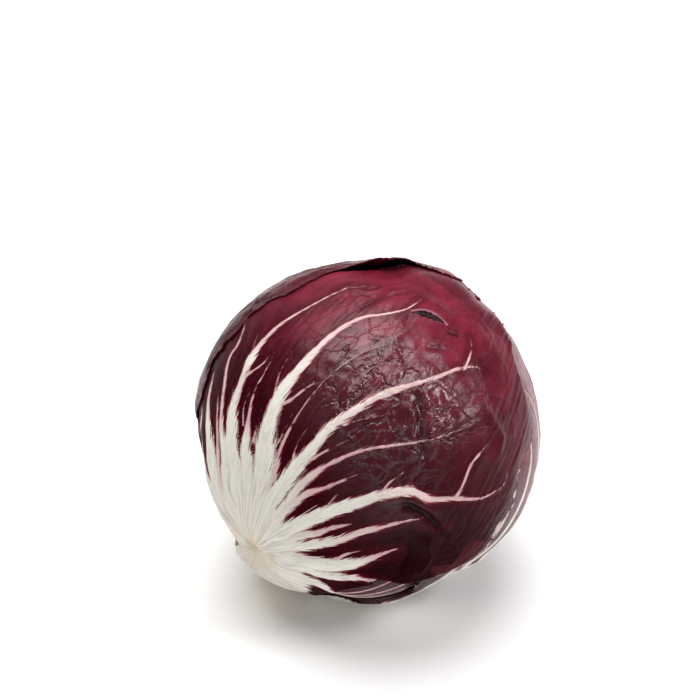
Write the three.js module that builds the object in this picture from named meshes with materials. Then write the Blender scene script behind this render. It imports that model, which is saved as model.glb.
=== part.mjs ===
// A head of red radicchio: a short stem, a dense heart and six outer leaves wrapped round it, lying on its side.
// Millimetres and degrees, +Z up. The origin is the middle of the small flat spot that the head rests on.
// Shapes are worked out in the head's own axes: its stem points to -Z and its crown to +Z. A direction from its
// middle is (theta, phi): theta is 0 at the stem and 180 at the crown, phi is 0 along the top of the head as it lies.

import * as THREE from "three";

// The head and how it lies
const BODY_RADIUS = 54; // the dense body that the outer leaves lie on
const REST_HEIGHT = 53.7; // middle of the head above the floor, less than its radius, so that it has a flat spot
const STEM_DIP = 48; // how far the stem points below the horizon
const STEM_HEADING = 213; // the way it points, seen from above
const BLADE = 0.8; // thickness of a leaf
const BASE_EXTRA = 0.9; // added to that where the leaves join the stem
const GAP = 0.5; // between one leaf and the next, and what is added to it near the stem
const BASE_GAP = 0.3;
const STEP_DOWN = [4, 20]; // degrees outside a leaf's edge, between which the leaves above come down again
const STAND_OFF = [9, 20]; // the same for how near another leaf's edge a leaf's own ribs and edges may rise
const BASE_CLEAR = 12.8; // the leaves end this many degrees from the stem's middle

// The stem: a short stub in a recess of the heart, cut nearly flush
const STEM_RADIUS = 10.8;
const STEM_INNER = 44.3; // its two ends, from the middle of the head
const STEM_CUT = 58.6;
const RECESS_RADIUS = 11.3;

// Places where the body is fuller or flatter than a ball: [theta, phi, reach, rise]
const FULLNESS = [
  [0, 0, 30, -2.6],
  [85, -35, 28, 1.4],
  [146, -25, 18, -1.6],
  [160, 75, 24, -2.0],
  [72, 116, 14, -1.6],
  [70, 250, 30, -1.0],
  [55, 129, 14, -3.8],
];

// Half width of a leaf from base to tip, as a part of its full half width: [degrees from its middle, part]
const OUTLINE = [
  [-82, 0.2], [-62, 0.34], [-46, 0.6], [-28, 0.9], [0, 1], [40, 0.93], [66, 0.62], [106, 0.34],
];
// The same for the right side of the front leaf, which reaches further round
const FRONT_RIGHT = [
  [-82, 0.21], [-72, 0.32], [-62, 0.41], [-46, 0.55], [-32, 0.82], [-20, 1.1], [-8, 1.2], [4, 1.1], [24, 1.03],
  [50, 0.9], [70, 0.62], [106, 0.35],
];

// Where the front leaf's ribs run, from its left edge (-1) to its right one (1), at these parts of its length
const RIB_STATIONS = [0, 0.34, 0.5, 0.65, 0.8, 1];
const FRONT_RIBS = [
  [-0.76, -0.74, -0.82, -0.83, -0.83, -0.83],
  [-0.64, -0.53, -0.75, -0.78, -0.78, -0.77],
  [-0.53, -0.42, -0.57, -0.61, -0.59, -0.56],
  [-0.4, -0.35, -0.47, -0.5, -0.48, -0.44],
  [-0.29, -0.27, -0.32, -0.32, -0.2, -0.18],
  [-0.18, -0.19, -0.21, -0.15, 0.04, 0.07],
  [-0.06, -0.11, -0.13, -0.04, 0.2, 0.24],
  [0.07, -0.06, -0.03, 0.09, 0.39, 0.43],
  [0.2, -0.02, 0.11, 0.42, 0.48, 0.53],
  [0.33, 0.05, 0.23, 0.49, 0.53, 0.58],
  [0.46, 0.08, 0.32, 0.6, 0.61, 0.66],
  [0.6, 0.12, 0.39, 0.77, 0.73, 0.77],
  [0.73, 0.23, 0.55, 0.83, 0.8, 0.85],
  [0.86, 0.43, 0.71, 0.91, 0.87, 0.93],
  [0.94, 0.76, 0.87, 0.96, 0.94, 0.96],
];

// The outer leaves from the innermost to the outermost. centre: where the middle of the blade lies; half: half its
// width in degrees; tip: how far it reaches past its centre; lift: how far its edges stand off; rows along it.
const LEAVES = [
  { name: "leaf_inner", centre: [94, 235], half: 54, tip: 98, ribs: 7, lift: 0.8, rows: 20, seed: 11, colour: 0x4a0a22 },
  { name: "leaf_lower", centre: [88, 92], half: 50, tip: 72, ribs: 8, lift: 1.0, rows: 16, seed: 23, colour: 0x6b1b35 },
  { name: "leaf_left", centre: [90, -42], half: 52, tip: 78, ribs: 8, lift: 1.0, rows: 17, seed: 41, colour: 0x54102b },
  { name: "leaf_right", centre: [90, 160], half: 72, tip: 88, ribs: 10, lift: 1.3, rows: 19, seed: 37, colour: 0x5e1430 },
  { name: "leaf_front", centre: [88, 36], half: 68, right: FRONT_RIGHT, tip: 86, ribs: FRONT_RIBS, lift: 1.3,
    rows: 18, seed: 53, colour: 0x641832 },
  { name: "leaf_back", centre: [90, -99], half: 76, tip: 88, ribs: 9, lift: 1.2, rows: 20, seed: 67, colour: 0x5a122d },
];
const TIP_ROUND = 14; // degrees by which a leaf's upper corners are lower than its tip

const rad = THREE.MathUtils.degToRad;
const deg = THREE.MathUtils.radToDeg;
const smooth = (edge0, edge1, x) => THREE.MathUtils.smoothstep((x - edge0) / (edge1 - edge0), 0, 1);

// Repeatable random numbers from 0 to 1
function random(seed) {
  let state = seed;
  return () => {
    state = (state * 16807) % 2147483647;
    return state / 2147483647;
  };
}

// A smooth curve through points [x, value], level beyond its ends
function curve(points, x) {
  const last = points.length - 1;
  if (x <= points[0][0]) return points[0][1];
  if (x >= points[last][0]) return points[last][1];
  const i = points.findIndex((p) => p[0] > x) - 1;
  const slope = (k) => {
    const a = points[Math.max(k - 1, 0)], b = points[Math.min(k + 1, last)];
    return (b[1] - a[1]) / (b[0] - a[0]);
  };
  const h = points[i + 1][0] - points[i][0];
  const t = (x - points[i][0]) / h;
  return (2 * t ** 3 - 3 * t ** 2 + 1) * points[i][1] + (t ** 3 - 2 * t ** 2 + t) * h * slope(i) +
    (3 * t ** 2 - 2 * t ** 3) * points[i + 1][1] + (t ** 3 - t ** 2) * h * slope(i + 1);
}

function direction(theta, phi) {
  const t = rad(theta), p = rad(phi);
  return new THREE.Vector3(Math.sin(t) * Math.cos(p), Math.sin(t) * Math.sin(p), -Math.cos(t));
}

const between = (a, b) => deg(a.angleTo(b));
const thetaOf = (d) => deg(Math.acos(THREE.MathUtils.clamp(-d.z, -1, 1)));

// How the head lies: its own down is the direction that meets the floor
const attitude = new THREE.Euler(0, rad(STEM_DIP - 90), rad(STEM_HEADING), "ZYX");
const down = new THREE.Vector3(0, 0, -1).applyQuaternion(new THREE.Quaternion().setFromEuler(attitude).invert());

// A leaf is laid out flat round its middle, in degrees across (x) and along (y), as on a map centred there.
// Near the stem the map is pushed outward, so that the narrow leaf bases clasp the stem instead of meeting at a point.
function leafAxes(leaf) {
  const [theta, phi] = leaf.centre;
  return {
    middle: direction(theta, phi),
    along: direction(theta + 90, phi),
    across: new THREE.Vector3(-Math.sin(rad(phi)), Math.cos(rad(phi)), 0),
  };
}

function clasp(d, sign) {
  const theta = thetaOf(d);
  const moved = Math.max(theta ** 4 + sign * BASE_CLEAR ** 4, 1e-6) ** 0.25;
  return direction(moved, deg(Math.atan2(d.y, d.x)));
}

function fromMap(leaf, x, y) {
  const { middle, along, across } = leafAxes(leaf);
  const reach = Math.max(Math.hypot(x, y), 1e-6);
  const side = along.multiplyScalar(y / reach).addScaledVector(across, x / reach);
  const d = middle.multiplyScalar(Math.cos(rad(reach))).addScaledVector(side, Math.sin(rad(reach)));
  return clasp(d, 1);
}

function toMap(leaf, direct) {
  const d = clasp(direct, -1);
  const { middle, along, across } = leafAxes(leaf);
  const reach = between(middle, d);
  const scale = reach / Math.max(Math.sin(rad(reach)), 1e-6);
  return [d.dot(across) * scale, d.dot(along) * scale];
}

const halfWidth = (leaf, x, y) => leaf.half * curve(x > 0 ? (leaf.right ?? OUTLINE) : OUTLINE, y);
const tipEdge = (leaf, u) => leaf.tip - TIP_ROUND * u * u;
const baseEdge = (leaf) => 8 - leaf.centre[0];

// How much a leaf covers a direction: 1 inside its edge and just outside it, 0 further off
function cover(leaf, d, [near, far] = STEP_DOWN) {
  const [x, y] = toMap(leaf, d);
  const width = halfWidth(leaf, x, y);
  const u = THREE.MathUtils.clamp(x / width, -1, 1);
  const inside = Math.min(width - Math.abs(x), tipEdge(leaf, u) - y, y - baseEdge(leaf));
  return smooth(-far, -near, inside);
}

const nearStem = (d) => smooth(75, 30, thetaOf(d));
const thickness = (d) => BLADE + BASE_EXTRA * nearStem(d);
const layers = (d, count) =>
  LEAVES.slice(0, count).reduce((sum, leaf) => sum + cover(leaf, d), 0) * (thickness(d) + GAP + BASE_GAP * nearStem(d));
const offFloor = (d) => smooth(24, 38, between(d, down)); // 0 over the flat spot

// Radius of the body under the leaves: the full shape, pressed flat where the outermost leaf meets the floor
function bodyRadius(d) {
  let full = BODY_RADIUS;
  for (const [theta, phi, reach, rise] of FULLNESS) {
    full += rise * Math.exp(-((between(d, direction(theta, phi)) / reach) ** 2));
  }
  const facing = d.dot(down);
  if (facing < 0.5) return full;
  const floor = REST_HEIGHT / facing + GAP + BASE_GAP * nearStem(d) - layers(d, LEAVES.length);
  const soft = 0.7;
  const blend = Math.max(soft - Math.abs(full - floor), 0) / soft;
  return Math.min(full, floor) - (blend * blend * soft) / 4;
}

// A closed mesh from a grid of outer points and the inner points under them, both faces cut into the same triangles:
// each four-sided cell along its shorter diagonal
function blade(outer, inner) {
  const rows = outer.length, columns = outer[0].length;
  const positions = [outer, inner].flatMap((face) => face.flat().flatMap((p) => [p.x, p.y, p.z]));
  const at = (row, column, face) => face * rows * columns + row * columns + column;
  const index = [];
  const quad = (a, b, c, d) => index.push(a, b, c, a, c, d);
  for (let r = 0; r < rows - 1; r++) {
    for (let c = 0; c < columns - 1; c++) {
      const cell = [[r, c], [r, c + 1], [r + 1, c + 1], [r + 1, c]];
      const point = ([row, column]) => outer[row][column];
      const rising = point(cell[0]).distanceTo(point(cell[2])) <= point(cell[1]).distanceTo(point(cell[3]));
      if (!rising) cell.push(cell.shift());
      quad(...cell.map(([row, column]) => at(row, column, 0)));
      const [a, b, c2, d] = cell.map(([row, column]) => at(row, column, 1));
      index.push(a, c2, b, a, d, c2);
    }
  }
  for (let c = 0; c < columns - 1; c++) {
    quad(at(0, c, 1), at(0, c + 1, 1), at(0, c + 1, 0), at(0, c, 0));
    quad(at(rows - 1, c, 0), at(rows - 1, c + 1, 0), at(rows - 1, c + 1, 1), at(rows - 1, c, 1));
  }
  for (let r = 0; r < rows - 1; r++) {
    quad(at(r, 0, 0), at(r + 1, 0, 0), at(r + 1, 0, 1), at(r, 0, 1));
    quad(at(r, columns - 1, 1), at(r + 1, columns - 1, 1), at(r + 1, columns - 1, 0), at(r, columns - 1, 0));
  }
  const geometry = new THREE.BufferGeometry();
  geometry.setAttribute("position", new THREE.Float32BufferAttribute(positions, 3));
  geometry.setIndex(index);
  geometry.computeVertexNormals();
  return geometry;
}

// Where a leaf's ribs run: evenly fanned with small random steps, or the front leaf's own
function ribLines(leaf) {
  if (Array.isArray(leaf.ribs)) return leaf.ribs;
  const draw = random(leaf.seed);
  return Array.from({ length: leaf.ribs }, (_, i) => {
    const even = (2 * (i + 1)) / (leaf.ribs + 1) - 1 + (draw() - 0.5) * 0.12;
    const bend = (draw() - 0.5) * 0.08;
    return RIB_STATIONS.map((v) => even * (0.72 + 0.26 * smooth(0.3, 0.7, v)) + bend * v);
  });
}

// One leaf: its columns of points run along its ribs and along the hollows between them
function leafGeometry(leaf, order) {
  const draw = random(leaf.seed + 1);
  const waves = Array.from({ length: 4 }, () => draw() * 6.28);
  const lines = [RIB_STATIONS.map(() => -1), ...ribLines(leaf), RIB_STATIONS.map(() => 1)];
  const lineAt = (line, v) => curve(RIB_STATIONS.map((station, k) => [station, line[k]]), v);
  const outer = [], inner = [];
  for (let row = 0; row <= leaf.rows; row++) {
    const v = row / leaf.rows;
    const outerRow = [], innerRow = [];
    for (let column = 0; column <= 2 * (lines.length - 1); column++) {
      const left = Math.floor(column / 2), onRib = column % 2 === 0;
      const u = onRib ? lineAt(lines[left], v) : (lineAt(lines[left], v) + lineAt(lines[left + 1], v)) / 2;
      const y = baseEdge(leaf) + (tipEdge(leaf, u) - baseEdge(leaf)) * v;
      const side = smooth(0.75, 1, Math.abs(u)) * smooth(0.12, 0.3, v);
      const end = smooth(0.86, 1, v);
      const ruffle = 1 - 0.025 * side * (1 + Math.sin(v * 31 + waves[u > 0 ? 0 : 1]));
      const d = fromMap(leaf, u * halfWidth(leaf, u, y) * ruffle, y - 2 * end * (1 + Math.sin(u * 9 + waves[2])));
      const free = LEAVES.slice(order + 1).reduce((part, other) => part * (1 - cover(other, d, STAND_OFF)), offFloor(d));
      const edge = Math.max(side, end);
      const wave = 0.6 + 0.4 * Math.sin(v * 19 + u * 5 + waves[3]);
      const base = bodyRadius(d) + layers(d, order) + leaf.lift * edge * wave * free;
      const ridge = onRib && left > 0 && left < lines.length - 1 ? 1.1 * smooth(0.04, 0.2, v) * (1 - 0.7 * v) : 0;
      innerRow.push(d.clone().multiplyScalar(base));
      outerRow.push(d.clone().multiplyScalar(base + thickness(d) + ridge * free));
    }
    outer.push(outerRow);
    inner.push(innerRow);
  }
  return blade(outer, inner);
}

// The heart: a dense ball of inner leaves, their edges in low steps, with a round recess for the stem
function heartGeometry(columns, rows) {
  const points = [[0, 0, -STEM_INNER + 0.3]];
  const ring = (pointAt) => {
    for (let c = 0; c < columns; c++) points.push(pointAt((360 * c) / columns));
  };
  ring((phi) => [RECESS_RADIUS * Math.cos(rad(phi)), RECESS_RADIUS * Math.sin(rad(phi)), -STEM_INNER + 0.3]);
  for (let row = 0; row <= rows; row++) {
    const theta = 13.6 + ((180 - 13.6 - 3) * row) / rows;
    ring((phi) => {
      const d = direction(theta, phi);
      const turn = (((phi + 40 * Math.sin(rad(theta * 1.5))) / 60) % 1 + 1) % 1;
      const step = 1.1 * Math.min(turn / 0.85, (1 - turn) / 0.15) - 1.1;
      return d.multiplyScalar(bodyRadius(d) - GAP + step * smooth(20, 60, theta)).toArray();
    });
  }
  const crown = direction(180, 0);
  points.push(crown.multiplyScalar(bodyRadius(crown) - GAP - 1).toArray());
  const index = [];
  const last = points.length - 1;
  const at = (r, c) => 1 + r * columns + (c % columns);
  for (let c = 0; c < columns; c++) {
    index.push(0, at(0, c + 1), at(0, c));
    for (let r = 0; r <= rows; r++) {
      index.push(at(r, c), at(r, c + 1), at(r + 1, c + 1), at(r, c), at(r + 1, c + 1), at(r + 1, c));
    }
    index.push(last, at(rows + 1, c), at(rows + 1, c + 1));
  }
  const geometry = new THREE.BufferGeometry();
  geometry.setAttribute("position", new THREE.Float32BufferAttribute(points.flat(), 3));
  geometry.setIndex(index);
  geometry.computeVertexNormals();
  return geometry;
}

// The stem: a stub with a slightly domed cut
function stemGeometry() {
  const profile = [
    [0, -STEM_CUT], [STEM_RADIUS - 2.2, -STEM_CUT + 0.25], [STEM_RADIUS - 0.5, -STEM_CUT + 1],
    [STEM_RADIUS, -STEM_CUT + 2.4], [STEM_RADIUS - 0.3, -STEM_INNER], [0, -STEM_INNER],
  ];
  const geometry = new THREE.LatheGeometry(profile.map(([r, z]) => new THREE.Vector2(r, z)), 28);
  geometry.rotateX(Math.PI / 2);
  return geometry;
}

function piece(name, geometry, colour, roughness) {
  const mesh = new THREE.Mesh(geometry, new THREE.MeshStandardMaterial({ color: colour, roughness, metalness: 0 }));
  mesh.name = name;
  return mesh;
}

const head = new THREE.Group();
head.position.z = REST_HEIGHT;
head.rotation.copy(attitude);
head.add(piece("stem", stemGeometry(), 0xe6dcc0, 0.7));
head.add(piece("heart_leaves", heartGeometry(48, 24), 0x5b1430, 0.5));
LEAVES.forEach((leaf, order) => head.add(piece(leaf.name, leafGeometry(leaf, order), leaf.colour, 0.4)));

const radicchio = new THREE.Group();
radicchio.add(head);
export default radicchio;
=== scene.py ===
# A head of red radicchio on a pale studio floor: glossy wine-red leaves with white ribs round a dense heart.
# The leaves are laid out on the same maps and lie in the same layers as the solid model's, with fine ribs,
# veins, puckers and torn edges. Lengths are millimetres and angles degrees until a mesh is written, which is
# in metres. A place on the head is (theta, phi): the angle from the stem's end, and the angle round the stem.

import bmesh
import bpy
import numpy as np
from mathutils import Matrix, Vector


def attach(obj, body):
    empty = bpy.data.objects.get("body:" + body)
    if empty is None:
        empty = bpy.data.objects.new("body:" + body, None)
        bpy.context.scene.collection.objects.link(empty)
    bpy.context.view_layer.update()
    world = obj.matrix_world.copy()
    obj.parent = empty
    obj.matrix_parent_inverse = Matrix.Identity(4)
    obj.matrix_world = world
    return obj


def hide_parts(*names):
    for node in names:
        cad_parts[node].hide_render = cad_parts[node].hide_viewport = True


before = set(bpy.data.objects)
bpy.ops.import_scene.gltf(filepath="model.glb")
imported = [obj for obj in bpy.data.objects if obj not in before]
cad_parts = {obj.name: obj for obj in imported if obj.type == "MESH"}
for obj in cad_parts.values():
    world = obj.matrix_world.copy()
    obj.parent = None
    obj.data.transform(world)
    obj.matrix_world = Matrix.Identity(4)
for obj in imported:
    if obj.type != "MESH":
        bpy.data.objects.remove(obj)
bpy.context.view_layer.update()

# The head and how it lies, as in the solid model
BODY_RADIUS = 54.0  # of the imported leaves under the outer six
REST_HEIGHT = 53.7  # of the middle of the head above the floor
STEM_DIP, STEM_HEADING = 48.0, 213.0  # how steeply the stem points down, and which way
BLADE, BASE_EXTRA = 0.8, 0.9  # a leaf's thickness, and how much thicker its base is
GAP, BASE_GAP = 0.5, 0.3  # between two leaves, and how much wider at their bases
STEP_DOWN = (4.0, 20.0)  # the strip past a leaf's edge in which the leaves over it step down
STAND_OFF = (9.0, 20.0)  # the strip past a leaf's edge in which the leaves under it may begin to stand off
FLOOR_STRIP = (24, 38)  # the same strip round the spot that rests on the floor
SOFT_FLOOR = 0.7  # how softly that spot runs into the round
BASE_CLEAR = 12.8  # the hole that the leaf bases leave for the stem
BASE_START = 8  # how near the stem's end a leaf's map begins
TIP_ROUND = 14.0  # how far back the corners of a leaf's tip lie
STEM_RADIUS, STEM_INNER, STEM_CUT = 10.8, 44.3, 58.6  # its ends from the middle of the head
FULLNESS = [  # where the body bulges or falls in: theta, phi, reach, rise
    (0, 0, 30, -2.6), (85, -35, 28, 1.4), (146, -25, 18, -1.6), (160, 75, 24, -2.0), (72, 116, 14, -1.6),
    (70, 250, 30, -1.0), (55, 129, 14, -3.8)]
# Half width of a leaf as a share of its widest, along its map, and the same for the front leaf's right side
OUTLINE = [(-82, 0.2), (-62, 0.34), (-46, 0.6), (-28, 0.9), (0, 1.0), (40, 0.93), (66, 0.62), (106, 0.34)]
FRONT_RIGHT = [(-82, 0.21), (-72, 0.32), (-62, 0.41), (-46, 0.55), (-32, 0.82), (-20, 1.1), (-8, 1.2),
               (4, 1.1), (24, 1.03), (50, 0.9), (70, 0.62), (106, 0.35)]

# The outer leaves from the innermost to the outermost. centre: the middle of a leaf's map; half: half its
# width; tip: how far it runs from there; ribs: how many; lift: how far its edges stand off; seed: of its own
# random draws; grid: how finely it is cut, across and along; right: the outline of its right side
LEAVES = [
    dict(name="leaf_inner", centre=(94, 235), half=54, tip=98, ribs=7, lift=0.8, seed=11, grid=(110, 100)),
    dict(name="leaf_lower", centre=(88, 92), half=50, tip=72, ribs=8, lift=1.0, seed=23, grid=(150, 120)),
    dict(name="leaf_left", centre=(90, -42), half=52, tip=78, ribs=8, lift=1.0, seed=41, grid=(150, 120)),
    dict(name="leaf_right", centre=(90, 160), half=72, tip=88, ribs=10, lift=1.3, seed=37, grid=(220, 130)),
    dict(name="leaf_front", centre=(88, 36), half=68, tip=98, lift=1.3, seed=53, grid=(250, 194),
         right=FRONT_RIGHT),
    dict(name="leaf_back", centre=(90, -99), half=76, tip=88, ribs=9, lift=1.2, seed=67, grid=(230, 140)),
]

# The front leaf's ribs and main veins, read off the photograph: theta, phi and half width of the white
FRONT_RIBS = [
    [(46, -12, 3.5), (51, -17, 3.5), (56, -24, 3.0), (59, -29, 1.8), (63, -31, 0.5)],
    [(57, -20, 1.2), (63, -22, 0.9), (67, -24, 0.3)],
    [(49, -2, 3.6), (55, -6, 3.5), (61, -10, 2.9), (66, -15, 1.9), (71, -19, 1.2), (76, -21, 0.8),
     (80, -23, 0.3)],
    [(59, -2, 1.1), (63, -4, 0.8), (69, -8, 0.6), (73, -11, 0.4), (77, -14, 0.2)],
    [(56, 5, 2.6), (62, 2, 2.4), (67, -3, 1.4), (71, -6, 1.0), (79, -11, 1.1), (87, -17, 0.9), (93, -18, 0.7),
     (100, -26, 0.4)],
    [(58, 11, 3.7), (64, 5, 3.4), (70, 2, 2.9), (75, -1, 2.4), (83, -3, 1.7), (89, -5, 1.9), (92, -6, 2.1),
     (98, -7, 1.3), (105, -7, 0.9), (116, -5, 0.6), (128, -4, 0.4), (137, -2, 0.2)],
    [(75, -2, 0.5), (79, -4, 0.5), (82, -7, 0.2)],
    [(91, -6, 0.5), (95, -9, 0.4), (98, -11, 0.35), (101, -14, 0.15)],
    [(87, -3, 0.7), (91, -1, 0.5), (94, 0, 0.35), (98, 0, 0.15)],
    [(62, 15, 2.8), (68, 11, 2.2), (73, 9, 1.4), (77, 7, 0.9), (85, 4, 0.45), (92, 3, 0.35), (101, 0, 0.15)],
    [(74, 6, 0.5), (79, 3, 0.4), (84, 2, 0.2)],
    [(59, 22, 3.8), (68, 20, 3.8), (75, 17, 3.6), (81, 15, 3.2), (90, 13, 2.7), (98, 13, 2.2), (107, 13, 1.7),
     (115, 13, 1.2), (125, 15, 0.8), (132, 20, 0.6), (139, 24, 0.45), (149, 24, 0.2)],
    [(84, 13, 0.9), (89, 11, 0.6), (95, 8, 0.35), (103, 6, 0.15)],
    [(87, 15, 0.9), (90, 17, 0.7), (96, 19, 0.4), (103, 22, 0.15)],
    [(72, 13, 0.7), (78, 11, 0.2)],
    [(66, 25, 1.1), (75, 23, 0.7), (85, 22, 0.4), (95, 22, 0.35), (106, 23, 0.3), (116, 26, 0.3),
     (126, 32, 0.15)],
    [(74, 21, 0.4), (80, 21, 0.3), (88, 20, 0.15)],
    [(74, 29, 0.6), (80, 27, 0.35), (87, 27, 0.25), (96, 27, 0.12)],
    [(57, 28, 3.0), (67, 30, 2.8), (75, 31, 2.5), (81, 32, 2.3), (91, 33, 2.0), (99, 36, 1.7), (108, 40, 1.4),
     (116, 46, 1.0), (124, 53, 0.8), (133, 62, 0.6), (137, 75, 0.15)],
    [(97, 35, 0.6), (101, 33, 0.35), (107, 33, 0.25), (114, 32, 0.12)],
    [(78, 33, 0.7), (82, 35, 0.5), (86, 37, 0.35), (93, 41, 0.12)],
    [(132, 62, 0.6), (138, 63, 0.45), (143, 63, 0.35), (147, 61, 0.15)],
    [(94, 36, 0.5), (98, 39, 0.3), (105, 46, 0.25), (111, 54, 0.12)],
    [(60, 34, 1.6), (69, 35, 1.4), (76, 37, 1.2), (81, 39, 0.95), (88, 43, 0.7), (94, 48, 0.65),
     (100, 55, 0.5), (106, 62, 0.4), (113, 69, 0.3), (121, 77, 0.15)],
    [(58, 35, 1.5), (65, 37, 1.3), (70, 39, 1.0), (74, 42, 0.7), (82, 47, 0.35), (88, 51, 0.15)],
    [(52, 39, 2.7), (60, 43, 2.5), (70, 49, 2.1), (77, 54, 2.2), (84, 59, 1.7), (89, 65, 1.6), (90, 72, 1.2),
     (94, 79, 1.0), (98, 88, 0.6), (104, 95, 0.4), (109, 95, 0.2)],
    [(65, 45, 0.7), (70, 46, 0.4), (77, 47, 0.15)],
    [(94, 79, 0.8), (98, 79, 0.65), (105, 78, 0.55), (109, 79, 0.45), (114, 81, 0.2)],
    [(83, 58, 0.7), (88, 58, 0.4), (97, 62, 0.15)],
    [(55, 45, 1.6), (59, 49, 1.2), (64, 52, 0.8), (70, 57, 0.2)],
    [(48, 44, 2.4), (53, 49, 2.0), (62, 57, 1.4), (69, 61, 1.1), (75, 66, 0.8), (81, 71, 0.5), (85, 75, 0.2)],
    [(41, 45, 3.4), (46, 53, 3.2), (50, 60, 3.0), (55, 66, 2.6), (59, 69, 1.8), (63, 71, 1.0), (71, 75, 0.2)],
    [(54, 61, 0.8), (59, 63, 0.4), (63, 66, 0.15)],
    [(32, 49, 4.0), (35, 58, 3.6), (39, 66, 2.6), (39, 74, 1.6), (39, 80, 0.6)],
    [(42, 53, 2.5), (45, 61, 2.1), (48, 68, 1.8), (52, 74, 1.4), (56, 84, 0.4)],
]
WHITE_FROM, WHITE_SHARE = 76, 0.8  # past that theta, the share of it that is plain white, inside its fringe
# Where the white of the front leaf's base gives way to purple between the ribs: phi, theta
FRONT_WHITE = [(-24, 46), (-8, 48), (2, 50), (12, 56), (25, 62), (38, 54), (49, 47), (60, 39), (74, 29),
               (86, 22)]
# Two white ribs of the right leaf that show past the front leaf's edge, and a third beside them
RIGHT_RIBS = [
    [(48, 136, 2.4), (70, 130, 2.2), (100, 128, 1.9), (118, 124, 1.4), (132, 118, 1.1), (141, 101, 0.7),
     (150, 88, 0.2)],
    [(46, 127, 2.6), (70, 122, 2.6), (92, 119, 2.2), (108, 116, 1.6), (119, 112, 1.0), (127, 102, 0.3)],
    [(46, 118, 2.2), (66, 114, 2.4), (84, 112, 1.8), (98, 109, 1.0), (110, 102, 0.25)],
]

# Creases of the front leaf, and its folds, which are ridges and have a depth below 0: (theta, phi) along
# each, depth and half width
FRONT_CREASES = [
    ([(117, 48), (111, 54), (104, 59), (97, 65)], 1.1, 1.3),
    ([(126, 11), (133, 10), (140, 11), (150, 17)], 0.7, 1.6),
    ([(130, 1), (133, 5), (136, 9)], 0.45, 0.7),
    ([(132, -4), (136, 0), (140, 4)], 0.45, 0.7),
    ([(130, 42), (133, 47), (135, 52)], 0.6, 0.9),
    ([(142, 47), (143, 51), (145, 56)], 0.8, 0.9),
    ([(83, 64), (85, 68), (85, 74), (84, 79), (82, 88)], 1.3, 1.1),
    ([(80, 58), (86, 64), (88, 72), (87, 80)], -1.5, 2.2),
    ([(142, 64), (135, 67), (128, 72), (122, 77), (118, 86), (106, 90)], -1.3, 1.8),
    ([(130, 32), (122, 40), (117, 46)], 0.6, 1.3),
    ([(77, 74), (71, 80), (62, 84)], 0.9, 1.4),
    ([(79, 78), (74, 86), (64, 90)], -1.2, 1.8),
    ([(135, 4), (128, -8)], -0.6, 1.4),
    ([(152, 10), (143, 8), (134, 12)], 0.5, 1.2),
]
FAN_ROOT = (-8, -64)  # where a leaf's ribs run together, across and along on its map
FAN_REACH = 40  # how far from there the streaks of its base are measured
ROOTED_THETA, ROOTED_WIDTH = 70, 0.9  # a rib that starts lower and is wider runs on to that root
# The ribs that the photograph doesn't show: half widths of the stout and slim ones, by turns, and how finely
# each is laid out; and the side veins: length, spacing along a rib, slant in radians and half width
STOUT_RIB, SLIM_RIB, RIB_POINTS = (1.3, 2.0), (0.5, 1.1), 9
VEIN_LENGTH, VEIN_SPACING, VEIN_SLANT, VEIN_WIDTH = (6, 15), (5, 11), (0.25, 0.5), (0.1, 0.22)
VEIN_STEPS = 5
LOWER_BARE = 36  # how much further down the purple of the lower leaf reaches between its ribs
# How far a leaf's base is white, how much less where the front leaf hid it, and how much that wavers
WHITE_BASE, HIDDEN_PURPLE, WHITE_RIPPLE = 50, 42, 3
TEAR = ((139, 26), (145, 46), 1.7)  # a short tear in the front leaf: its ends and half its width
TEAR_BEND = 1.2  # how far it is bowed
NO_TEAR = -3.0  # stands for well outside it
# Where its skin is puckered into glossy cells between the veins: (theta, phi), reach, strength
FRONT_PUCKERS = [((106, 30), 17, 1.0), ((116, 56), 15, 1.0), ((97, 47), 14, 0.8), ((86, 62), 16, 0.5),
                 ((125, 28), 12, 0.5)]
BITE = (-37, 3.5, 16)  # a notch in its lower right edge: how far along the leaf, half its width, how deep
FRAYED = (76, 108, 44)  # where the edges are torn and cream-coloured: theta, phi, reach
LIFTED = ((150, -24), 10, 3.4)  # where the back leaf's edge stands off the head: (theta, phi), reach, lift

# A leaf's grid runs from -1 to 1 across and from 0 to 1 along, from base to tip. On that scale:
SIDE_EDGE, TIP_EDGE = 0.75, 0.86  # where the edges that may stand off begin
SIDE_RIM, TIP_RIM = 0.93, 0.95  # where the torn rims begin
SIDES_BEGIN = (0.12, 0.3)  # how far from the base the sides come free of it
PRESSED_SIDE, PRESSED_TIP, PRESSED_BASE = 0.86, 0.93, 0.08  # where the very rim lies pressed down again
# The leaf's edges: ruffles as a share of its half width, waves of its tip, tears and how deep they go
RUFFLE, RUFFLE_TURNS = 0.025, 31
TIP_WAVE, TIP_TURNS = 2, 9
TEARS, SMALL_TEARS, SMALL_TEAR_SHARE = 9, 3.5, 0.7
TORN_DEPTH, TIP_TORN_DEPTH, TORN_RIGHT_DEPTH = 0.9, 0.8, 1.3
TORN_RIGHT = (-18, 24)  # where the front leaf's right rim is torn deepest, along it, and how far each way
LIFT_SHARE = 0.25  # how much of a leaf's lift shows where its edge stands off
DRAPE, BASE_DRAPE = 0.7, 1.2  # how far the very rim is pressed down, and how much more at the base
# The relief of its skin: the length of one wave, and its height
SWELLS, PUFFS, SMALL_PUFFS = (26, 0.16), (8, 0.3), (4, 0.16)
FLUTES, RIB_GRAIN, WRINKLES = (3.4, 0.3), (2.2, 0.07), (2.6, 0.12)
RELIEF = (-1.0, 2.4)  # the deepest and the highest that it may be
TURN = 6.28  # a full turn, as in the solid model


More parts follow.
